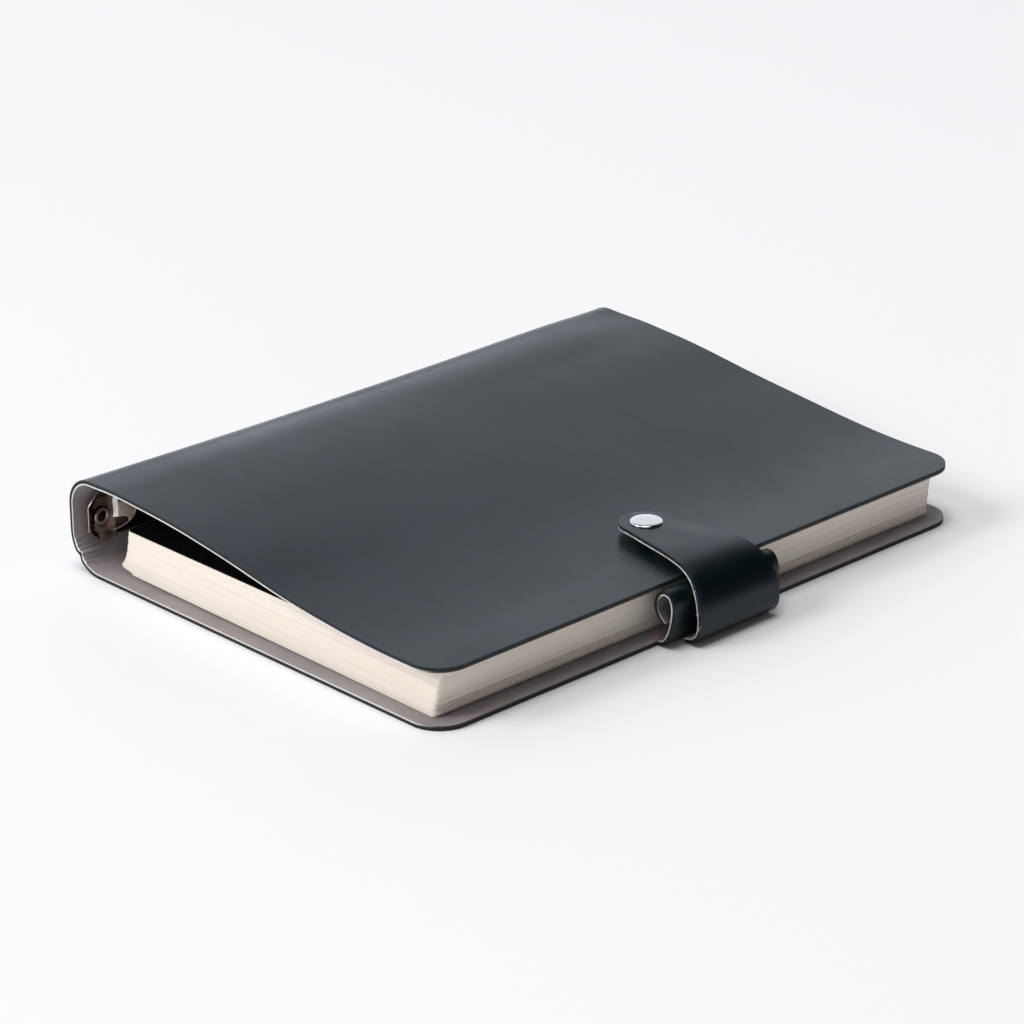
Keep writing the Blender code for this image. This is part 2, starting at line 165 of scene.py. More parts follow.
def inward(path, i):
    """The direction into the sheet at a point of its path."""
    (x0, z0), (x1, z1) = path[max(i - 1, 0)], path[min(i + 1, len(path) - 1)]
    length = math.hypot(x1 - x0, z1 - z0)
    return (-(z1 - z0) / length, (x1 - x0) / length)


def ripple(x, y, size, seed):
    """Smooth unevenness between -1 and 1, with waves about that many millimetres long."""
    return noise.noise(Vector((x / size + seed, y / size - seed, seed * 1.7)))


# ---------------------------------------------------------------- materials
class Nodes:
    """A few short calls that build a Principled material from procedural textures."""

    def __init__(self, name):
        self.material = bpy.data.materials.new(name)
        self.material.use_nodes = True
        self.tree = self.material.node_tree
        self.shader = self.tree.nodes["Principled BSDF"]
        self.place = self.add("ShaderNodeTexCoord").outputs["Object"]

    def add(self, kind, **settings):
        node = self.tree.nodes.new(kind)
        for key, value in settings.items():
            setattr(node, key, value)
        return node

    def link(self, source, target):
        self.tree.links.new(source, target)

    def set(self, **values):
        """Constants on the shader's own sockets, with _ for a space in their names."""
        for key, value in values.items():
            self.shader.inputs[key.replace("_", " ")].default_value = value

    def stretched(self, scale):
        mapping = self.add("ShaderNodeMapping")
        mapping.inputs["Scale"].default_value = scale
        self.link(self.place, mapping.inputs["Vector"])
        return mapping.outputs["Vector"]

    def noise(self, per_metre, detail=3.0, roughness=0.5, distortion=0.0, vector=None):
        node = self.add("ShaderNodeTexNoise")
        node.inputs["Scale"].default_value = per_metre
        node.inputs["Detail"].default_value = detail
        node.inputs["Roughness"].default_value = roughness
        node.inputs["Distortion"].default_value = distortion
        self.link(vector or self.place, node.inputs["Vector"])
        return node.outputs["Fac"]

    def cells(self, per_metre, feature="F1", vector=None):
        node = self.add("ShaderNodeTexVoronoi", feature=feature)
        node.inputs["Scale"].default_value = per_metre
        self.link(vector or self.place, node.inputs["Vector"])
        return node.outputs["Distance"]

    def attribute(self, name):
        return self.add("ShaderNodeAttribute", attribute_name=name).outputs["Fac"]

    def ranged(self, value, low, high, to_low=0.0, to_high=1.0):
        node = self.add("ShaderNodeMapRange")
        self.link(value, node.inputs["Value"])
        for key, number in zip(("From Min", "From Max", "To Min", "To Max"),
                               (low, high, to_low, to_high)):
            node.inputs[key].default_value = number
        return node.outputs["Result"]

    def maths(self, operation, a, b):
        node = self.add("ShaderNodeMath", operation=operation)
        for socket, value in zip(node.inputs, (a, b)):
            if isinstance(value, (int, float)):
                socket.default_value = value
            else:
                self.link(value, socket)
        return node.outputs[0]

    def mixed(self, factor, a, b):
        node = self.add("ShaderNodeMix", data_type="RGBA")
        self.link(factor, node.inputs["Factor"])
        for socket, value in zip((node.inputs[6], node.inputs[7]), (a, b)):
            if isinstance(value, tuple):
                socket.default_value = (*value, 1.0)
            else:
                self.link(value, socket)
        return node.outputs[2]

    def bumps(self, *layers):
        """Layers are (height, strength, distance in millimetres)."""
        normal = None
        for height, strength, distance in layers:
            node = self.add("ShaderNodeBump")
            node.inputs["Strength"].default_value = strength
            node.inputs["Distance"].default_value = distance * MM
            self.link(height, node.inputs["Height"])
            if normal:
                self.link(normal, node.inputs["Normal"])
            normal = node.outputs["Normal"]
        self.link(normal, self.shader.inputs["Normal"])


def leather_material():
    n = Nodes("smooth_leather")
    grain = n.cells(2600.0)
    pores = n.noise(5200.0, 2.0, 0.6)
    patches = n.noise(45.0, 4.0, 0.55, 0.4)
    handling = n.noise(14.0, 3.0, 0.5, 0.8)
    scuffs = n.noise(260.0, 4.0, 0.7, 0.0, n.stretched((0.25, 1.0, 1.0)))
    colour = n.mixed(n.ranged(patches, 0.35, 0.7), (0.0014, 0.0042, 0.0052), (0.0028, 0.0066, 0.0078))
    worn = n.maths("MULTIPLY", n.attribute("rim"), n.ranged(n.noise(700.0, 5.0, 0.7), 0.42, 0.72))
    colour = n.mixed(n.maths("MULTIPLY", worn, 0.55), colour, (0.035, 0.05, 0.05))
    n.link(colour, n.shader.inputs["Base Color"])
    rough = n.maths("ADD", n.ranged(handling, 0.3, 0.7, 0.27, 0.35), n.ranged(scuffs, 0.45, 0.8, 0.0, 0.07))
    n.link(n.maths("ADD", rough, n.maths("MULTIPLY", worn, 0.15)), n.shader.inputs["Roughness"])
    n.set(Specular_IOR_Level=0.34, Specular_Tint=(0.66, 0.84, 1.0, 1.0))
    n.bumps((handling, 0.10, 0.6), (patches, 0.16, 0.12), (grain, 0.28, 0.02), (pores, 0.22, 0.012))
    return n.material


def leather_edge_material():
    n = Nodes("leather_cut_edge")
    fibres = n.noise(1500.0, 5.0, 0.75, 0.3, n.stretched((0.5, 0.5, 2.0)))
    colour = n.mixed(n.ranged(fibres, 0.6, 0.75), (0.003, 0.006, 0.007), (0.22, 0.24, 0.24))
    n.link(colour, n.shader.inputs["Base Color"])
    n.link(n.ranged(fibres, 0.3, 0.8, 0.6, 0.9), n.shader.inputs["Roughness"])
    n.bumps((fibres, 0.6, 0.08))
    return n.material


def lining_material(name, shade, tint, dark=None, per_metre=60.0):
    """Brushed backing; dark gives the stretch of x, in millimetres, over which it turns dark with painted
    shade.
    """
    n = Nodes(name)
    nap = n.noise(2200.0, 4.0, 0.65)
    weave = n.cells(1500.0)
    clouds = n.noise(per_metre, 4.0, 0.6, 0.5)
    colour = n.mixed(n.ranged(clouds, 0.3, 0.7), shade, tint)
    colour = n.mixed(n.ranged(nap, 0.45, 0.9, 0.0, 0.35), colour, tuple(min(1.0, c * 1.5) for c in tint))
    if dark:
        # painted shade: across the given stretch of x the colour turns dark, where this face lies in shadow
        across = n.add("ShaderNodeSeparateXYZ")
        n.link(n.place, across.inputs[0])
        shaded = n.ranged(across.outputs["X"], dark[0] * MM, dark[1] * MM)
        colour = n.mixed(shaded, colour, (0.035, 0.036, 0.038))
    n.link(colour, n.shader.inputs["Base Color"])
    n.link(n.ranged(nap, 0.3, 0.7, 0.78, 0.95), n.shader.inputs["Roughness"])
    n.set(Sheen_Weight=0.25, Sheen_Roughness=0.5)
    n.bumps((nap, 0.35, 0.05), (weave, 0.25, 0.04))
    return n.material


def paper_material():
    n = Nodes("cream_paper")
    tone = n.attribute("tone")
    fibre = n.noise(900.0, 4.0, 0.6)
    layers = n.noise(1.0, 2.0, 0.6, 0.0, n.stretched((12.0, 12.0, 9000.0)))
    stain = n.noise(30.0, 3.0, 0.5)
    colour = n.mixed(tone, (0.84, 0.77, 0.68), (0.98, 0.905, 0.81))
    colour = n.mixed(n.ranged(layers, 0.35, 0.75, 0.0, 0.09), colour, (0.84, 0.76, 0.66))
    colour = n.mixed(n.ranged(stain, 0.5, 0.8, 0.0, 0.15), colour, (0.90, 0.82, 0.70))
    n.link(colour, n.shader.inputs["Base Color"])
    n.link(n.ranged(fibre, 0.3, 0.7, 0.85, 0.95), n.shader.inputs["Roughness"])
    n.set(Specular_IOR_Level=0.25)
    n.bumps((fibre, 0.15, 0.03), (layers, 0.15, 0.04))
    return n.material


def card_material():
    n = Nodes("black_card")
    fibre = n.noise(700.0, 4.0, 0.6)
    n.link(n.mixed(n.ranged(fibre, 0.35, 0.7), (0.002, 0.002, 0.0023), (0.0045, 0.0045, 0.005)),
           n.shader.inputs["Base Color"])
    n.set(Roughness=0.95, Specular_IOR_Level=0.05)
    n.bumps((fibre, 0.2, 0.03))
    return n.material


def metal_material(name, dark, light, rough_low, rough_high, scratch=0.08, shade_all_but_ends=False):
    """Plated metal; with the last flag set, the plate is painted near black as painted shade, all but its
    rounded ends.
    """
    n = Nodes(name)
    smudge = n.noise(160.0, 4.0, 0.6, 0.6)
    lines = n.noise(420.0, 5.0, 0.7, 0.0, n.stretched((1.0, 0.12, 1.0)))
    pits = n.cells(1400.0)
    colour = n.mixed(n.ranged(smudge, 0.3, 0.7), dark, light)
    if shade_all_but_ends:
        place = n.add("ShaderNodeSeparateXYZ")
        n.link(n.place, place.inputs[0])
        height = n.maths("SUBTRACT", place.outputs["Z"], RING_CENTRE[1] * MM)
        bow = n.maths("MULTIPLY", n.maths("MULTIPLY", height, height), SHADE_EDGE_BOW / MM)
        along = n.maths("SUBTRACT", n.maths("ABSOLUTE", place.outputs["Y"], 0.0), bow)
        past = n.ranged(along, (SHADE_EDGE_FROM - 0.3) * MM, (SHADE_EDGE_FROM + 0.3) * MM)
        # painted shade: the plate's body is near black, as it lies in shadow under the cover; past the line,
        # the domed ends keep the metal's colour
        colour = n.mixed(past, (0.012, 0.01, 0.009), colour)
    n.link(colour, n.shader.inputs["Base Color"])
    rough = n.maths("ADD", n.ranged(smudge, 0.3, 0.75, rough_low, rough_high),
                    n.ranged(lines, 0.5, 0.8, 0.0, 0.06))
    n.link(rough, n.shader.inputs["Roughness"])
    n.set(Metallic=1.0)
    n.bumps((lines, scratch, 0.02), (pits, scratch * 0.6, 0.01))
    return n.material


LEATHER = leather_material()
LEATHER_EDGE = leather_edge_material()
LINING = lining_material("grey_lining", (0.245, 0.215, 0.215), (0.325, 0.287, 0.287))
LINING_EDGE = lining_material("lining_cut_edge", (0.22, 0.22, 0.22), (0.95, 0.94, 0.92), None, 420.0)
# the pen loop's cut edge gets painted shade on its side towards the pages, below x 81.8 mm
LOOP_EDGE = lining_material("loop_cut_edge", (0.35, 0.345, 0.34), (0.95, 0.94, 0.92), (83.4, 81.8), 420.0)
# the covers' lining edge gets painted shade along the fore side, from x 73 to 79 mm, where it lies in shadow
COVER_RIM = lining_material("cover_lining_edge", (0.60, 0.58, 0.56), (0.78, 0.76, 0.73), (73, 79))
# a darker copy of the grey lining: painted shade for the inside of the rolled pen loop
SHADED_LOOP_LINING = lining_material("loop_lining", (0.12, 0.11, 0.11), (0.18, 0.165, 0.165))
PAPER = paper_material()
CARD = card_material()
NICKEL = metal_material("dark_nickel", (0.11, 0.085, 0.075), (0.34, 0.285, 0.25), 0.1, 0.2)
# painted shade over the plate's body; only the domed ends keep the plated colour
ARCH_NICKEL = metal_material("arch_nickel", (0.42, 0.385, 0.35), (0.78, 0.75, 0.71), 0.11, 0.2, 0.05, True)
# the plate's inner face, painted near black: painted shade inside the plate and through its openings
SHADED_INSIDE_NICKEL = metal_material("inside_nickel_painted_shade", (0.006, 0.005, 0.005), (0.02, 0.017, 0.015), 0.3, 0.45)
BRIGHT_NICKEL = metal_material("bright_nickel", (0.62, 0.58, 0.53), (0.8, 0.77, 0.72), 0.12, 0.24)
RIVET_NICKEL = metal_material("rivet_nickel", (0.24, 0.2, 0.18), (0.46, 0.4, 0.36), 0.1, 0.2)
GOLDEN_RIM = metal_material("polished_rim", (0.62, 0.52, 0.38), (0.8, 0.7, 0.55), 0.14, 0.26)
CHROME = metal_material("polished_cap", (0.60, 0.60, 0.60), (0.70, 0.70, 0.70), 0.09, 0.16, 0.03)


# ---------------------------------------------------------------- mesh helpers
def finish_mesh(name, verts, faces, materials, material_ids=None, bevel=None, smooth=True):
    """An object from points in millimetres."""
    mesh = bpy.data.meshes.new(name)
    mesh.from_pydata([tuple(c * MM for c in v) for v in verts], [], faces)
    for material in materials:
        mesh.materials.append(material)
    if material_ids:
        mesh.polygons.foreach_set("material_index", material_ids)
    bm = bmesh.new()
    bm.from_mesh(mesh)
    bmesh.ops.recalc_face_normals(bm, faces=bm.faces)
    bm.to_mesh(mesh)
    bm.free()
    if smooth:
        mesh.shade_smooth()
    obj = bpy.data.objects.new(name, mesh)
    bpy.context.scene.collection.objects.link(obj)
    if bevel:
        modifier = obj.modifiers.new("soft_edges", "BEVEL")
        modifier.width = bevel * MM
        modifier.segments = 2
        modifier.limit_method = "ANGLE"
        modifier.angle_limit = math.radians(40)
        modifier.harden_normals = True
        apply_modifiers(obj)
    return obj


def apply_modifiers(obj):
    """Makes the modifiers' result the object's own mesh."""
    bpy.context.view_layer.update()
    shape = obj.evaluated_get(bpy.context.evaluated_depsgraph_get())
    mesh = bpy.data.meshes.new_from_object(shape)
    obj.modifiers.clear()
    obj.data = mesh


def slab(name, skin, low, high, materials, rims=None, bevel=0.12):
    """A sheet of even thickness between two depths below a grid of (point, inward normal)."""
    rows, cols = len(skin), len(skin[0])
    verts, faces, ids = [], [], []
    for depth in (low, high):
        for row in skin:
            for (x, y, z), (nx, ny, nz) in row:
                verts.append((x + nx * depth, y + ny * depth, z + nz * depth))
    size = rows * cols
    for i in range(rows - 1):
        for j in range(cols - 1):
            a, b, c, d = i * cols + j, i * cols + j + 1, (i + 1) * cols + j + 1, (i + 1) * cols + j
            faces += [(a, b, c, d), (size + d, size + c, size + b, size + a)]
            ids += [0, 1]
    ring = [j for j in range(cols)]
    ring += [i * cols + cols - 1 for i in range(1, rows)]
    ring += [(rows - 1) * cols + j for j in range(cols - 2, -1, -1)]
    ring += [i * cols for i in range(rows - 2, 0, -1)]
    for a, b in zip(ring, ring[1:] + ring[:1]):
        faces.append((b, a, size + a, size + b))
        ids.append(2)
    obj = finish_mesh(name, verts, faces, materials, ids, bevel)
    if rims:
        write_rim(obj, rims)
    return obj


def write_rim(obj, distance):
    """Stores how near each point lies to the sheet's cut edge: 1 at the edge, 0 further in."""
    values = [max(0.0, 1.0 - distance(*(c / MM for c in v.co)) / 2.5) for v in obj.data.vertices]
    attribute = obj.data.attributes.new("rim", "FLOAT", "POINT")
    attribute.data.foreach_set("value", values)


def turned(name, profile, centre, material, axis="Z", segments=64):
    """A round piece from (radius, height) pairs that start and end on its axis."""
    verts, faces = [], []
    ends = [profile[0], profile[-1]]
    rings = [p for p in profile if p[0] > 1e-6]

    def place(r, h, a):
        u, v = r * math.cos(a), r * math.sin(a)
        if axis == "Z":
            return (centre[0] + u, centre[1] + v, h)
        return (h, centre[0] + u, centre[1] + v)

    for r, h in rings:
        verts += [place(r, h, 2 * math.pi * k / segments) for k in range(segments)]
    for i in range(len(rings) - 1):
        for k in range(segments):
            m = (k + 1) % segments
            faces.append((i * segments + k, i * segments + m, (i + 1) * segments + m, (i + 1) * segments + k))
    for (r, h), base in zip(ends, (0, (len(rings) - 1) * segments)):
        ring = list(range(base, base + segments))
        if r > 1e-6:
            faces.append(tuple(ring))
            continue
        verts.append(place(0.0, h, 0.0))
        tip = len(verts) - 1
        faces += [(ring[k], ring[(k + 1) % segments], tip) for k in range(segments)]
    obj = finish_mesh(name, verts, faces, [material])
    obj.data.set_sharp_from_angle(angle=math.radians(50))
    return obj


def tube(path, radius, sides=16):
    """Points and faces of a round wire along path, closed at both ends."""
    verts, faces = [], []
    for i, p in enumerate(path):
        p = Vector(p)
        before, after = Vector(path[max(i - 1, 0)]), Vector(path[min(i + 1, len(path) - 1)])
        along = (after - before).normalized()
        side = along.cross(Vector((0, 1, 0)))
        side = side.normalized() if side.length > 1e-6 else Vector((1, 0, 0))
        up = along.cross(side).normalized()
        r = radius[i] if isinstance(radius, list) else radius
        for k in range(sides):
            a = 2 * math.pi * k / sides
            verts.append(tuple(p + side * r * math.cos(a) + up * r * math.sin(a)))
    for i in range(len(path) - 1):
        for k in range(sides):
            m = (k + 1) % sides
            faces.append((i * sides + k, i * sides + m, (i + 1) * sides + m, (i + 1) * sides + k))
    faces.append(tuple(range(sides)))
    faces.append(tuple((len(path) - 1) * sides + k for k in range(sides)))
    return verts, faces


def merge(parts):
    verts, faces = [], []
    for part_verts, part_faces in parts:
        base = len(verts)
        verts += part_verts
        faces += [tuple(base + i for i in face) for face in part_faces]
    return verts, faces


# ---------------------------------------------------------------- the cover sheet
def front_z(x):
    """Height of the front cover's top before it relaxes."""
    return HEIGHT - (HEIGHT - FORE_Z) * smoothstep((x - TOP_CENTRE[0]) / FALL_WIDTH)


def relax(x, y):
    """How far the soft front cover stands above its plain profile, in millimetres.

    The near half stands higher than the far half (tilt). The cover is hollow along the spine (sag), low
    at the near fore corner (corner), high along the far edge (lift), gapes at the near end (gape), drops
    at the far end of the spine (drop), and lies calm around the snap.
    """
    end = y / HALF_L
    begins = -74 if end < 0 else -60
    tilt = 0.62 * smoothstep((x - begins) / 16) * (1 - smoothstep((x - 18) / 26))
    tilt += 0.85 * bump_at(x, 2, 20)
    sag = -1.85 * (1 - end * end) * bump_at(x, -79, 10.5)
    corner = -0.8 * bump_at(y, -HALF_L, 20) * smoothstep((x - 52) / 26)
    lift = 0.45 * bump_at(y, HALF_L, 60) * smoothstep((x - 40) / 25)
    gape = 0.75 * smoothstep((-end - 0.2) / 0.8) * smoothstep((x + 58) / 34) * (1 - smoothstep((x - 4) / 24))
    wave = 0.22 * ripple(x, y, 55, 3.1) * smoothstep((x + 60) / 40)
    calm = 1 - bump_at(y, 0, 16) * bump_at(x, SNAP_X, 18)
    drop = -1.1 * bump_at(y, HALF_L, 20) * bump_at(x, -66, 16)
    return (-end * tilt + sag + corner + lift + gape + drop + wave) * calm


def cover_half(x):
    """Half width of a cover at a place, with its rounded fore corners."""
    past = x - (FORE_X - CORNER_R)
    if past <= 0:
        return HALF_L
    return HALF_L - CORNER_R + math.sqrt(max(CORNER_R ** 2 - past ** 2, 0.0))


def fore_stations(step):
    """Places from the fore edge to the far side of a rounded corner, then on at even steps."""
    start = FORE_X - CORNER_R
    xs = [start + CORNER_R * math.sin(math.radians(a)) for a in range(90, 0, -6)]
    count = round((start - TOP_CENTRE[0]) / step)
    return xs + [start - i * (start - TOP_CENTRE[0]) / count for i in range(count)]


def along_spine(half):
    """Places along Y, a little closer together near both ends."""
    pitch, near_count, far_count = 0.9, 24, 72
    near = [-half + pitch * i for i in range(near_count)]
    shares = [math.sin(math.pi / 2 * i / far_count) ** 0.9 for i in range(1, far_count + 1)]
    return near + [near[-1] + (half - near[-1]) * share for share in shares]


def edge_distance(x, y, z):
    """Distance from a point on a cover to the nearest cut edge."""
    past = x - (FORE_X - CORNER_R)
    side = HALF_L - abs(y)
    if past > 0 and abs(y) > HALF_L - CORNER_R:
        return CORNER_R - math.hypot(past, abs(y) - (HALF_L - CORNER_R))
    return min(side, FORE_X - x)


def cover_skin(path, lift=None, dent=None):
    """The outer skin of a stretch of the cover, lifted along Z or dented along its normal."""
    rows = []
    for i, (x, z) in enumerate(path):
        nx, nz = inward(path, i)
        row = []
        for y in along_spine(cover_half(x)):
            up = lift(x, z, y) if lift else 0.0
            push = dent(x, z, y) if dent else 0.0
            row.append(((x + nx * push, y, z + up + nz * push), (nx, 0.0, nz)))
        rows.append(row)
    return rows


def top_lift(x, z, y):
    """The relaxed shape, faded out down the spine."""
    return relax(max(x, TOP_CENTRE[0]), y) * smoothstep((z - TOP_CENTRE[1]) / BEND_TOP_R)


def low_dent(x, z, y):
    """A small kink where the near end of the lower bend was squeezed."""
    around = math.degrees(math.atan2(z - LOW_CENTRE[1], x - LOW_CENTRE[0])) % 360
    if x > LOW_CENTRE[0] + 5:
        return 0.0
    return 0.85 * bump_at(around, 221, 6) * smoothstep((-HALF_L + 9 - y) / 8)


def crease(around, y):
    """Height of the lining's creases in the lower bend, strongest at the near end."""
    total = 0.0
    past = y + HALF_L
    for angle, reach, width, slant in ((206, 17, 2.4, 0.9), (213, 22, 2.2, 0.45), (220, 19, 2.6, -0.1),
                                       (228, 15, 2.2, -0.6), (198, 12, 2.0, 1.3), (236, 11, 2.0, -1.0)):
        line = angle - slant * past + 1.6 * math.sin(past * 0.55 + angle)
        total += bump_at(around, line, width) * smoothstep((reach - past) / reach * 1.6)
    return total


def lining_wrinkles(obj):
    """Pushes up fine creases on the lining's inner face in the lower bend."""
    inner_r = BEND_LOW_R - SHEET_T
    for vertex in obj.data.vertices:
        x, y, z = (c / MM for c in vertex.co)
        dx, dz = x - LOW_CENTRE[0], z - LOW_CENTRE[1]
        r = math.hypot(dx, dz)
        if dx > 2 or dz > 2 or r > inner_r + 0.25:
            continue
        around = math.degrees(math.atan2(dz, dx)) % 360
        height = 0.55 * crease(around, y) + 0.1 * ripple(around * 0.3, y, 5, 8.0)
        vertex.co.x -= dx / r * height * MM
        vertex.co.z -= dz / r * height * MM


def build_cover():
    """The sheet around back, spine and front, in two halves that meet halfway up the spine."""
    top = [(x, front_z(x)) for x in fore_stations(2.4)] + arc(TOP_CENTRE, BEND_TOP_R, 90, 180, 26)
    count = 3
    top += [(SPINE_X, TOP_CENTRE[1] + (SPINE_MID_Z - TOP_CENTRE[1]) * i / count) for i in range(1, count + 1)]
    low = [(SPINE_X, SPINE_MID_Z + (LOW_CENTRE[1] - SPINE_MID_Z) * i / count) for i in range(count)]
    low += arc(LOW_CENTRE, BEND_LOW_R, 180, 270, 78)
    low += [(x, 0.0) for x in reversed(fore_stations(2.8)) if x > LOW_CENTRE[0] + 1]

    def sides(x, y, z):
        return edge_distance(x, y, z) if x > LOW_CENTRE[0] + 1.0 else HALF_L - abs(y)

    top_skin, low_skin = cover_skin(top, top_lift), cover_skin(low, None, low_dent)
    made = {}
    for part, skin in (("cover_top", top_skin), ("cover_low", low_skin)):
        outer = slab(part + "_skin", skin, 0.0, LEATHER_T, [LEATHER, LEATHER_EDGE, LEATHER_EDGE], sides)
        inner = slab(part + "_lining", skin, LEATHER_T, SHEET_T, [COVER_RIM, LINING, COVER_RIM], sides, 0.06)
        made[part] = (outer, inner)
    lining_wrinkles(made["cover_low"][1])
    for obj, node in zip(made["cover_top"], ("front_cover_leather", "front_cover_lining")):
        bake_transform(obj)
        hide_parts(node)
    for obj, nodes in zip(made["cover_low"], (("back_cover_leather", "spine_leather"),
                                              ("back_cover_lining", "spine_lining"))):
        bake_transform(obj)
        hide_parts(*nodes)


# ---------------------------------------------------------------- pen loop and strap
def band_skin(path, half_at, shift=None, middle=0.0):
    """A strip's outer skin, with its half width given at each place along it."""
    rows = []
    for i, (x, z) in enumerate(path):
        nx, nz = inward(path, i)
        half = half_at(x, z)
        row = []
        count = 30
        for k in range(count + 1):
            t = 2 * k / count - 1
            y = half * (0.7 * t + 0.3 * math.sin(math.pi / 2 * t))
            push = shift(i / (len(path) - 1), t, x, z) if shift else 0.0
            row.append(((x - nx * push, middle + y, z - nz * push), (nx, 0.0, nz)))
        rows.append(row)
    return rows


def add_band(name, skin, near_edge, lining=LINING, lining_edge=LINING_EDGE):
    """The leather and its lining for a strip."""
    leathers, linings = [LEATHER, LEATHER_EDGE, LEATHER_EDGE], [lining_edge, lining, lining_edge]
    outer = slab(name + "_skin", skin, 0.0, LEATHER_T, leathers, near_edge)
    inner = slab(name + "_lining", skin, LEATHER_T, SHEET_T, linings, near_edge, 0.06)
    return outer, inner


def build_loop():
    """The pen loop, a strip that leaves the back cover and rolls up over itself."""
    def waver(s, t, x, z):
        return 0.18 * ripple(s * 40, t * 24, 16, 5.5) * smoothstep(s * 5)

    def near_edge(x, y, z):
        return LOOP_HALF - abs(y - LOOP_MIDDLE)

    skin = band_skin(curve(LOOP_POINTS), lambda x, z: LOOP_HALF, waver, LOOP_MIDDLE)
    # the loop's lining and cut edge carry painted shade
    layers = add_band("pen_loop", skin, near_edge, SHADED_LOOP_LINING, LOOP_EDGE)
    for obj, node in zip(layers, ("pen_loop_leather", "pen_loop_lining")):
        obj.name = obj.data.name = obj.name + "_roll"
        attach(obj, "back_cover")
        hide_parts(node)


def strap_half(x, z):
    """Half width of the strap at a point of its path: a round tip, then a taper out to full width."""
    if x < SNAP_X and z > STRAP_TOP_Z - 1.5:
        return max(math.sqrt(max(STRAP_TIP_R ** 2 - (SNAP_X - x) ** 2, 0.0)), 0.5)
    along = x - SNAP_X + FOLD_SHARE * (STRAP_TOP_Z - z)
    return STRAP_TIP_R + (STRAP_HALF - STRAP_TIP_R) * min(along / STRAP_TAPER, 1.0)


def build_strap():
    """The closing strap, from under the back cover around the loop to its round tip."""
    path = curve(STRAP_POINTS, 6)
    last = STRAP_POINTS[-1][0]
    path += [(last + (SNAP_X - last) * i / 6, STRAP_TOP_Z) for i in range(1, 7)]
    path += [(SNAP_X - STRAP_TIP_R * math.sin(math.radians(a)), STRAP_TOP_Z) for a in range(8, 88, 6)]
    path += [(SNAP_X - STRAP_TIP_R * 0.9985, STRAP_TOP_Z)]

    def settle(s, t, x, z):
        """The flap dips a little to either side of the snap and its edges curl down."""
        on_top = smoothstep((z - 20.5) / 2.0)
        free = 1 - bump_at(x, SNAP_X, 8)
        return -0.25 * on_top * t * t * free + 0.12 * ripple(x, t * 20, 14, 2.2) * free

    def near_edge(x, y, z):
        if x < SNAP_X and z > STRAP_TOP_Z - 3:
            return STRAP_TIP_R - math.hypot(x - SNAP_X, y)
        return strap_half(x, z) - abs(y)

    layers = add_band("closing_strap", band_skin(path, strap_half, settle), near_edge)
    for obj, nodes in zip(layers, (("strap_base_leather", "strap_flap_leather"),
                                   ("strap_base_lining", "strap_flap_lining"))):
        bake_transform(obj)
        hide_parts(*nodes)


def build_fibres():
    """Loose threads where the lining's cut edge frays."""
    rng = random.Random(7)
    on_base = [(93.2, -16.6, 7.5), (92.6, -16.3, 11.5)]
    on_flap = [(62.0, -9.7, 22.5), (71.0, -11.3, 22.3), (89.0, -14.4, 17.6)]
    parts = []
    for root in on_base + on_flap:
        length = rng.uniform(1.2, 2.6)
        heading = Vector((rng.uniform(0.1, 0.9), rng.uniform(-1.0, -0.4), rng.uniform(-0.4, 0.5)))
        heading.normalize()
        curl = Vector((rng.uniform(-1, 1), rng.uniform(-1, 1), rng.uniform(-1, 1))) * 0.5
        path = [tuple(Vector(root) + heading * length * k / 7 + curl * (k / 7) ** 2) for k in range(8)]
        parts.append(tube(path, 0.045, 6))
    for threads, body in ((parts[:2], "strap_base"), (parts[2:], "strap_flap")):
        verts, faces = merge(threads)
        obj = finish_mesh("loose_threads_" + body, verts, faces, [LINING_EDGE])
        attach(obj, body)


# ---------------------------------------------------------------- paper
def ring_reach(z):
    """Where the ring's wire passes at a height, as an X place."""
    dz = min(abs(z - RING_CENTRE[1]), RING_R - 0.3)
    return RING_CENTRE[0] + math.sqrt(RING_R ** 2 - dz ** 2)


def sheet_outline(edge, fore, low, high):
    """A page's outline with slightly rounded corners."""
    r = PAGE_CORNER_R
    points = []
    for cx, cy, start in ((fore - r, high - r, 0), (edge + r, high - r, 90),
                          (edge + r, low + r, 180), (fore - r, low + r, 270)):
        points += arc((cx, cy), r, start, start + 90, 3)
    return points


def page_template():
    """A flat page with six punched holes, as points and triangles in the plane."""
    bm = bmesh.new()
    loops = [sheet_outline(0.0, PAGE_WIDTH, -PAGE_HALF_L, PAGE_HALF_L)]
    loops += [arc((HOLE_X, y), HOLE_R, 0, 345, 23) for y in RING_Y]
    edges = []
    for loop in loops:
        ring = [bm.verts.new((x, y, 0.0)) for x, y in loop]
        edges += [bm.edges.new((a, b)) for a, b in zip(ring, ring[1:] + ring[:1])]
    bmesh.ops.triangle_fill(bm, edges=edges, use_beauty=True, use_dissolve=False)
    bm.verts.index_update()
    verts = [tuple(v.co) for v in bm.verts]
    faces = [tuple(v.index for v in f.verts) for f in bm.faces]
    rims, base = [], 0
    for loop in loops:
        rims.append(list(range(base, base + len(loop))))
        base += len(loop)
    bm.free()
    return verts, faces, rims


def page_edge(z):
    """Where the paper's spine edge lies at a height."""
    heights, places = zip(*PAGE_EDGE)
    return float(np.interp(z, heights, places))


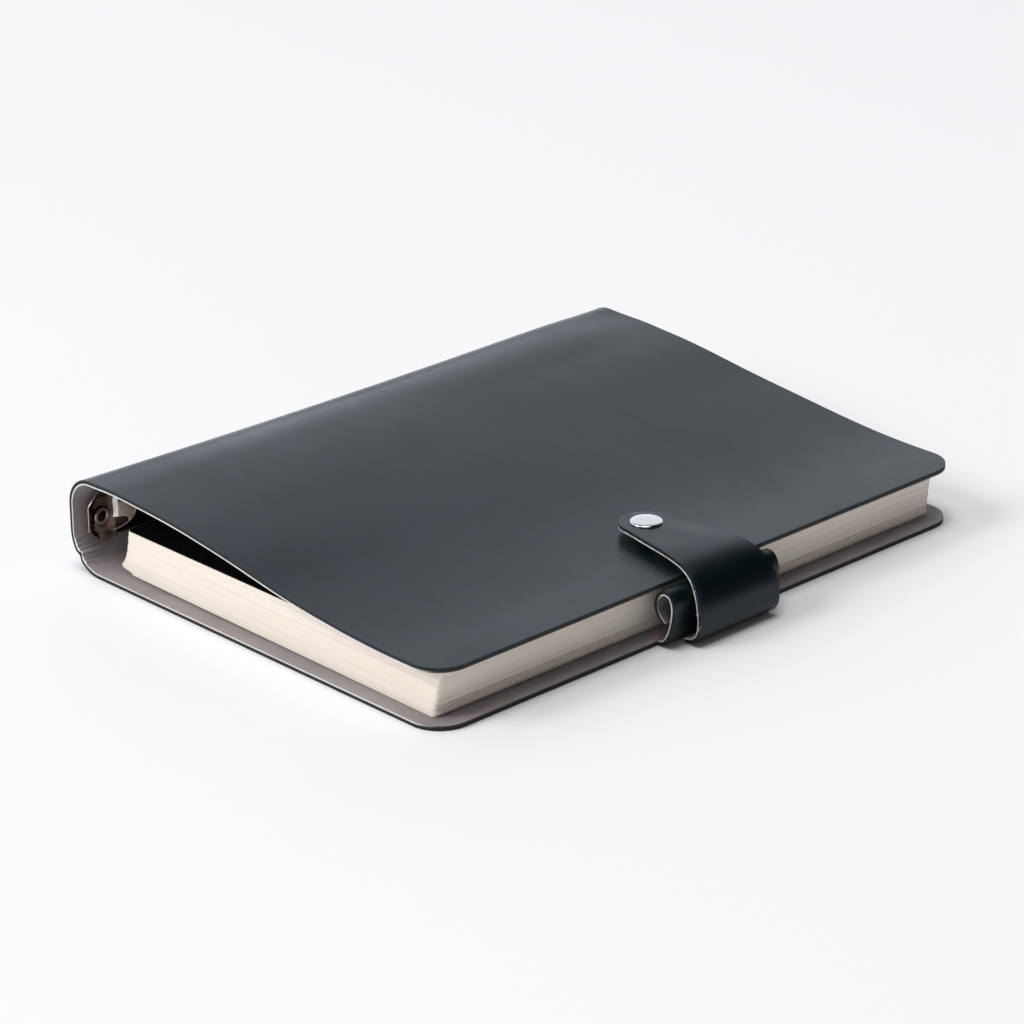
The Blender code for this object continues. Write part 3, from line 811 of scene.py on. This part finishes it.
def add_sheet(stack, template, z0, thick, edge, fore, slide, turn, height):
    """Adds one page to a stack of (points, faces): its spine edge at edge, its fore edge at fore."""
    flat, faces, rims = template
    verts_out, faces_out = stack
    hole_shift = ring_reach(max(z0, 6.2)) - edge - HOLE_X
    base, size = len(verts_out), len(flat)
    outer = len(rims[0])
    stretch = fore - edge - PAGE_WIDTH
    for level in (0.0, thick):
        for number, (x, y, _) in enumerate(flat):
            u = edge + x + stretch * smoothstep((x / PAGE_WIDTH - 0.2) / 0.8)
            if number >= outer:
                u += hole_shift
            v = y + slide
            lift = (1 - height) * 0.7 * bump_at(u, -62, 9)
            press = 0.18 * height * ripple(u, v, 60, 4.4)
            verts_out.append((u - math.sin(turn) * v, v + math.sin(turn) * (u + 60),
                              z0 + level + lift + press - 0.15 * height))
    faces_out += [tuple(base + i for i in reversed(f)) for f in faces]
    faces_out += [tuple(base + size + i for i in f) for f in faces]
    for rim in rims:
        for a, b in zip(rim, rim[1:] + rim[:1]):
            faces_out.append((base + a, base + b, base + size + b, base + size + a))


def plate_clearance(z):
    """The nearest place to the plate where a lower page clears it while the spine unfolds."""
    return RING_CENTRE[0] - math.sqrt(max(PAGE_SWING ** 2 - (z - RING_CENTRE[1]) ** 2, 0.0))


def build_pages():
    """Loose sheets, the lower ones on one body and the upper ones on another, and the black fly sheet."""
    rng = random.Random(11)
    template = page_template()
    pitch = (PAGE_TOP - PAGE_LOW) / SHEETS
    stacks = {"pages_lower": ([], []), "pages_upper": ([], [])}
    tones = {"pages_lower": [], "pages_upper": []}
    for number in range(SHEETS):
        z0 = PAGE_LOW + number * pitch
        body = "pages_lower" if z0 + pitch / 2 < PAGE_SPLIT else "pages_upper"
        height = number / SHEETS
        edge = page_edge(z0) + rng.gauss(0, 0.12)
        fore = PAGE_FORE_X + 1.6 * height + rng.gauss(0, 0.03)
        if number in (7, 8, 19):
            fore += 0.5
        if 12 < number < 27:
            fore -= 0.35
        turn = math.radians(0.42 * (height - 0.45) + rng.gauss(0, 0.015))
        if body == "pages_lower":
            edge = max(edge, plate_clearance(z0) + abs(math.sin(turn)) * ARCH_HALF_L)
        slide = rng.gauss(0, 0.05)
        add_sheet(stacks[body], template, z0, pitch * SHEET_FILL, edge, fore, slide, turn, height)
        tone = 0.0 if number in DIVIDERS else min(1.0, max(0.8, rng.gauss(0.95, 0.05)))
        tones[body] += [tone] * (2 * len(template[0]))
    for body, blocks in (("pages_lower", 3), ("pages_upper", 2)):
        verts, faces = stacks[body]
        obj = finish_mesh(body + "_sheets", verts, faces, [PAPER], smooth=False)
        attribute = obj.data.attributes.new("tone", "FLOAT", "POINT")
        attribute.data.foreach_set("value", tones[body])
        half = body.split("_")[1]
        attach(obj, body)
        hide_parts(*("page_block_%s_%d" % (half, i) for i in range(1, blocks + 1)))
    fly = ([], [])
    add_sheet(fly, template, PAGE_TOP + 0.12, 0.3, -62.1, PAGE_FORE_X + 1.1, 0.0, math.radians(0.22), 1.0)
    obj = finish_mesh("fly_sheet_card", fly[0], fly[1], [CARD], smooth=False)
    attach(obj, "pages_upper")
    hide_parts("fly_sheet")


# ---------------------------------------------------------------- metal
def ring_leg_start():
    reach = math.hypot(*LEG_FOOT)
    return math.degrees(math.atan2(LEG_FOOT[1], LEG_FOOT[0]) - math.acos(RING_R / reach))


def build_rings():
    """Twelve half rings, six to each half, down to the blades under the plate."""
    cx, cz = RING_CENTRE
    leg = ring_leg_start()
    for half, sign in (("upper", 1), ("lower", -1)):
        path = arc((0.0, 0.0), RING_R, 0.75, leg, 44)
        x0, z0 = path[-1]
        path += [(x0 + (LEG_FOOT[0] - x0) * k / 6, z0 + (LEG_FOOT[1] - z0) * k / 6) for k in range(1, 7)]
        radii = [WIRE_R * min(1.0, 0.8 + 0.2 * min(i, 2) / 2) for i in range(len(path))]
        parts = [tube([(cx + x, y, cz + sign * z) for x, z in path], radii, 20) for y in RING_Y]
        verts, faces = merge(parts)
        obj = finish_mesh("ring_set_" + half, verts, faces, [BRIGHT_NICKEL])
        obj.data.set_sharp_from_angle(angle=math.radians(50))
        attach(obj, "ring_" + half)
        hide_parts(*("ring_%s_%d" % (half, i) for i in range(1, 7)))


def arch_height(across):
    """The plate's rise at a place across it, where 1 is its rim."""
    return (1 - min(abs(across), 1.0) ** PLATE_SHAPE) ** 0.5


def plate_surface(y, across):
    """The outside of the plate, domed ends included, at a distance along it and a place across."""
    past = min(max(0.0, abs(y) - DOME_FROM) / DOME_LENGTH, 1.0)
    dome = math.sqrt(1.0 - past ** 2)
    rise = PLATE_FOOT + (PLATE_RISE - PLATE_FOOT) * dome
    return (PLATE_BASE_X + rise * arch_height(across), y,
            RING_CENTRE[1] + PLATE_HALF * (0.9 + 0.1 * dome) * across)


def block_along_x(outline, low, high):
    """Points and faces of a block with an outline in Y and Z."""
    count = len(outline)
    verts = [(x, y, z) for x in (low, high) for y, z in outline]
    faces = [tuple(range(count)), tuple(range(count, 2 * count))]
    faces += [(i, (i + 1) % count, count + (i + 1) % count, count + i) for i in range(count)]
    return verts, faces


def half_moon(side):
    """A block for an opening with a round lower rim."""
    outline = arc((0.0, 0.0), MOUTH_R, 185, 355, 12)
    outline += [(2.6, 1.0), (1.2, 1.7), (-1.2, 1.7), (-2.6, 1.0)]
    return block_along_x([(side * (MOUTH_Y + dy), MOUTH_Z + dz) for dy, dz in outline],
                         -79.0 + PLATE_T, -70.0)


def ring_slot(y, z):
    """A block with rounded corners for the slot that a ring passes through."""
    r, half_y, half_z = 0.7, 1.75, 2.2
    low, high = (y - half_y, z - half_z), (y + half_y, z + half_z)
    outline = []
    for cy, cz, start in ((high[0] - r, high[1] - r, 0), (low[0] + r, high[1] - r, 90),
                          (low[0] + r, low[1] + r, 180), (high[0] - r, low[1] + r, 270)):
        outline += arc((cy, cz), r, start, start + 90, 4)
    return block_along_x(outline, -78.5, -71.0)


def build_plate():
    """The sprung cover plate, with slots for the rings and a half-moon opening in each domed end."""
    cz = RING_CENTRE[1]
    steps = 40
    ys = set()
    for y in RING_Y:
        ys |= {y - 1.8, y + 1.8}
    ys |= {-ARCH_HALF_L, ARCH_HALF_L}
    ys |= {round(-ARCH_HALF_L + 2.0 * i, 3) for i in range(1, 95)}
    ys |= {side * (DOME_FROM + 0.35 * i) for side in (-1, 1) for i in range(18)}
    ys = sorted(ys)
    skin = []
    for i in range(steps + 1):
        behind, across, ahead = (-math.cos(math.pi * min(max(k, 0), steps) / steps)
                                 for k in (i - 1, i, i + 1))
        row = []
        dx = PLATE_RISE * (arch_height(ahead) - arch_height(behind))
        dz = PLATE_HALF * (ahead - behind)
        length = math.hypot(dx, dz)
        for y in ys:
            past = max(0.0, abs(y) - DOME_FROM) / (ARCH_HALF_L - DOME_FROM)
            reach = min(abs(y), DOME_FROM) + past * DOME_LENGTH
            row.append((plate_surface(math.copysign(reach, y), across), (-dz / length, 0.0, dx / length)))
        skin.append(row)
    # outer face with painted shade on all but the domed ends; inner face painted near black as painted shade
    arch = slab("mechanism_arch", skin, 0.0, PLATE_T, [ARCH_NICKEL, SHADED_INSIDE_NICKEL, GOLDEN_RIM], None, 0.12)
    slots = [ring_slot(y, cz + side * 6.9) for y in RING_Y for side in (-1, 1)]
    cut(arch, [half_moon(-1), half_moon(1)] + slots)
    tabs = build_tabs()
    beads = build_beads()
    for obj in [arch, beads] + tabs:
        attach(obj, "spine")
        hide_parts("mechanism_plate")


def build_beads():
    """Rolled lips that bow across the plate where the painted shade on it ends and its bright domed ends
    begin.
    """
    parts = []
    for side in (-1, 1):
        path = []
        for i in range(41):
            across = -math.cos(math.pi * i / 40) * 0.93
            y = min(SHADE_EDGE_FROM + SHADE_EDGE_BOW * (PLATE_HALF * across) ** 2, DOME_FROM + DOME_LENGTH - 0.3)
            x, y, z = plate_surface(side * y, across)
            path.append((x - LIP_SINK, y, z))
        parts.append(tube(path, LIP_R, 8))
    verts, faces = merge(parts)
    return finish_mesh("mechanism_lips", verts, faces, [GOLDEN_RIM])


def cut(obj, cutters):
    """Takes closed blocks away from a piece."""
    verts, faces = merge(cutters)
    tool = finish_mesh(obj.name + "_cutter", verts, faces, [], smooth=False)
    modifier = obj.modifiers.new("cut", "BOOLEAN")
    modifier.operation = "DIFFERENCE"
    modifier.object = tool
    apply_modifiers(obj)
    bpy.data.objects.remove(tool, do_unlink=True)
    obj.data.set_sharp_from_angle(angle=math.radians(40))


def tab_half(y):
    """Half width of a mounting tab at a distance along it from the middle of the binder."""
    return PLATE_HALF - max(0.0, y - (TAB_END - TAB_CHAMFER))


def build_tabs():
    """Dished tabs with chamfered corners and a rolled rim, one at each end of the plate."""
    cz = RING_CENTRE[1]
    made = []
    for side, end in ((-1, "near"), (1, "far")):
        root = DOME_FROM + DOME_LENGTH - 1.4
        rows = 26
        skin = []
        for i in range(rows + 1):
            y = root + (TAB_END - root) * i / rows
            half = tab_half(y)
            row = []
            for k in range(31):
                t = 2 * k / 30 - 1
                z = half * t
                rim = min(half - abs(z), TAB_END - y, y - root)
                dish = 0.8 * (1 - smoothstep(rim / 3.0))
                boss = 0.5 * bump_at(math.hypot(y - RIVET_Y, z), 0.0, 2.6)
                x = PLATE_BASE_X + PLATE_T + dish + boss
                row.append(((x, side * y, cz + z), (-1.0, 0.0, 0.0)))
            skin.append(row)
        tab = slab("mounting_tab_" + end, skin, 0.0, PLATE_T, [NICKEL, NICKEL, GOLDEN_RIM], None, 0.12)
        hole = arc((side * RIVET_Y, cz), TAB_HOLE_R, 0, 352.5, 47)
        cut(tab, [block_along_x(hole, -85.0, -70.0)])
        made.append(tab)
    return made


def build_rivets():
    """Hollow rivets with a low head outside the spine and a rolled rim on the tab."""
    head = SPINE_X - 0.02
    face = PLATE_BASE_X + PLATE_T + 0.5
    for side, end in ((-1, "near"), (1, "far")):
        profile = [
            (0.0, head - 0.75), (1.6, head - 0.73), (2.9, head - 0.6), (3.7, head - 0.36),
            (4.0, head - 0.1), (3.9, head), (1.95, head), (1.95, face), (2.5, face + 0.02),
            (2.95, face + 0.1), (3.0, face + 0.28), (2.7, face + 0.5), (2.2, face + 0.6),
            (1.75, face + 0.5), (1.5, face + 0.2), (1.45, face - 0.4), (1.45, head + 0.5),
            (0.0, head + 0.5),
        ]
        centre = (side * RIVET_Y, RING_CENTRE[1])
        rivet = turned("hollow_rivet_" + end, profile, centre, RIVET_NICKEL, "X", 48)
        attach(rivet, "spine")
        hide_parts("mounting_rivet_" + end)


def build_snap():
    """The snap fastener's four turned pieces, each from (radius, height) pairs."""
    centre = (SNAP_X, 0.0)
    cap = [
        (0.0, 22.2), (1.4, 22.2), (1.5, 22.4), (1.5, 23.5), (4.5, 23.5), (4.9, 23.56), (5.0, 23.7),
        (4.98, 23.9), (4.85, 24.08), (4.6, 24.2), (4.2, 24.28), (3.4, 24.35), (2.2, 24.4), (0.0, 24.42),
    ]
    socket = [
        (0.0, 22.05), (4.2, 22.05), (4.25, 21.9), (4.2, 21.6), (3.9, 21.35), (3.3, 21.23),
        (2.7, 21.25), (2.45, 21.4), (2.45, 21.75), (2.2, 21.85), (0.0, 21.85),
    ]
    stud = [
        (0.0, 19.8), (3.9, 19.8), (4.0, 19.95), (3.9, 20.15), (3.4, 20.25), (2.2, 20.28), (1.75, 20.35),
        (1.7, 21.2), (2.0, 21.45), (2.0, 21.6), (1.7, 21.72), (1.1, 21.76), (0.8, 21.6), (0.0, 21.55),
    ]
    post = [
        (0.0, 17.55), (3.6, 17.55), (4.3, 17.62), (4.5, 17.8), (4.4, 18.05), (1.6, 18.1), (1.5, 19.7),
        (0.0, 19.75),
    ]
    for name, profile, material, body, slot in (
            ("snap_cap", cap, CHROME, "strap_flap", "cap_chrome"),
            ("snap_socket", socket, BRIGHT_NICKEL, "strap_flap", "nickel"),
            ("snap_stud", stud, BRIGHT_NICKEL, "front_cover", "nickel"),
            ("snap_post", post, BRIGHT_NICKEL, "front_cover", "nickel")):
        obj = turned(name + "_round", profile, centre, material)
        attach(obj, body)
        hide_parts(name)


def dress_blades():
    """The blades keep their CAD shape and take the plated metal."""
    for half in ("upper", "lower"):
        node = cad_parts["ring_blade_" + half]
        node.data.materials.clear()
        node.data.materials.append(NICKEL)


# ---------------------------------------------------------------- stage
CAMERA_TURN = math.radians(46.43)
CAMERA_PITCH = math.radians(22.99)
CAMERA_ROLL = math.radians(-0.33)
CAMERA_DISTANCE = 1.195
CAMERA_LENS = 135.3
CAMERA_SHIFT = (-0.0026, 0.0095)    # across and up from the line through the origin


def build_camera():
    """A long lens, turned about Z and looking down by the pitch."""
    turn, pitch = CAMERA_TURN, CAMERA_PITCH
    back = Vector((math.sin(turn) * math.cos(pitch), -math.cos(turn) * math.cos(pitch), math.sin(pitch)))
    right = Vector((math.cos(turn), math.sin(turn), 0.0))
    up = back.cross(right)
    data = bpy.data.cameras.new("camera")
    data.lens = CAMERA_LENS
    data.sensor_width = 36.0
    data.clip_end = 50.0
    camera = bpy.data.objects.new("camera", data)
    bpy.context.scene.collection.objects.link(camera)
    camera.location = back * CAMERA_DISTANCE + right * CAMERA_SHIFT[0] + up * CAMERA_SHIFT[1]
    roll = Quaternion((0.0, 0.0, 1.0), CAMERA_ROLL)
    camera.rotation_euler = (back.to_track_quat("Z", "Y") @ roll).to_euler()
    bpy.context.scene.camera = camera


def build_stage():
    """A plain pale floor, just under the binder."""
    mesh = bpy.data.meshes.new("floor")
    reach = 14.0
    mesh.from_pydata([(-reach, -reach, 0), (reach, -reach, 0), (reach, reach, 0), (-reach, reach, 0)],
                     [], [(0, 1, 2, 3)])
    floor = bpy.data.objects.new("floor", mesh)
    floor.location.z = -0.0001
    bpy.context.scene.collection.objects.link(floor)
    n = Nodes("pale_floor")
    n.set(Base_Color=(0.93, 0.922, 0.938, 1.0), Roughness=0.75, Specular_IOR_Level=0.2)
    mesh.materials.append(n.material)


def area_light(name, place, aim, size, power, colour):
    """A softbox aimed at a point."""
    data = bpy.data.lights.new(name, "AREA")
    data.shape = "RECTANGLE"
    data.size, data.size_y = size
    data.energy = power
    data.color = colour
    light = bpy.data.objects.new(name, data)
    bpy.context.scene.collection.objects.link(light)
    light.location = place
    light.rotation_euler = (Vector(place) - Vector(aim)).to_track_quat("Z", "Y").to_euler()


def build_light():
    """A studio that is bright behind and to the left and dark to the right, with large softboxes."""
    world = bpy.data.worlds.new("studio")
    bpy.context.scene.world = world
    world.use_nodes = True
    tree = world.node_tree
    background = tree.nodes["Background"]
    place = tree.nodes.new("ShaderNodeTexCoord")

    def towards(direction, low, high, to_low, to_high):
        """A smooth change from to_low to_high as a direction of the room nears the given one."""
        dot = tree.nodes.new("ShaderNodeVectorMath")
        dot.operation = "DOT_PRODUCT"
        dot.inputs[1].default_value = direction
        tree.links.new(place.outputs["Generated"], dot.inputs[0])
        fade = tree.nodes.new("ShaderNodeMapRange")
        fade.interpolation_type = "SMOOTHSTEP"
        for key, value in zip(("From Min", "From Max", "To Min", "To Max"), (low, high, to_low, to_high)):
            fade.inputs[key].default_value = value
        tree.links.new(dot.outputs["Value"], fade.inputs["Value"])
        return fade.outputs["Result"]

    def combine(operation, a, b):
        node = tree.nodes.new("ShaderNodeMath")
        node.operation = operation
        tree.links.new(a, node.inputs[0])
        tree.links.new(b, node.inputs[1])
        return node.outputs[0]

    backdrop = towards((-0.937, 0.331, 0.11), 0.05, 0.8, 0.03, 1.1)
    backdrop = combine("MULTIPLY", backdrop, towards((0, 0, 1), 0.5, 0.92, 1.0, 0.15))
    backdrop = combine("MULTIPLY", backdrop, towards((0, 0, 1), 0.0, 0.45, 1.35, 1.0))
    front = towards((-0.1, -0.95, 0.0), 0.05, 0.6, 0.0, 0.5)
    strength = combine("MAXIMUM", backdrop, front)
    tree.links.new(strength, background.inputs["Strength"])
    background.inputs["Color"].default_value = (0.9, 0.94, 1.01, 1.0)
    area_light("key", (-1.9, -3.5, 3.0), (0, 0, 0), (2.2, 2.2), 116.0, (1.0, 0.985, 0.965))
    area_light("overhead", (0.1, -0.6, 4.96), (0, 0, 0), (2.4, 2.4), 120.0, (1.0, 0.995, 0.985))
    bpy.context.scene.view_settings.view_transform = "Standard"


build_camera()
build_stage()
build_light()
build_cover()
build_loop()
build_strap()
build_fibres()
build_pages()
build_rings()
build_plate()
build_rivets()
build_snap()
dress_blades()
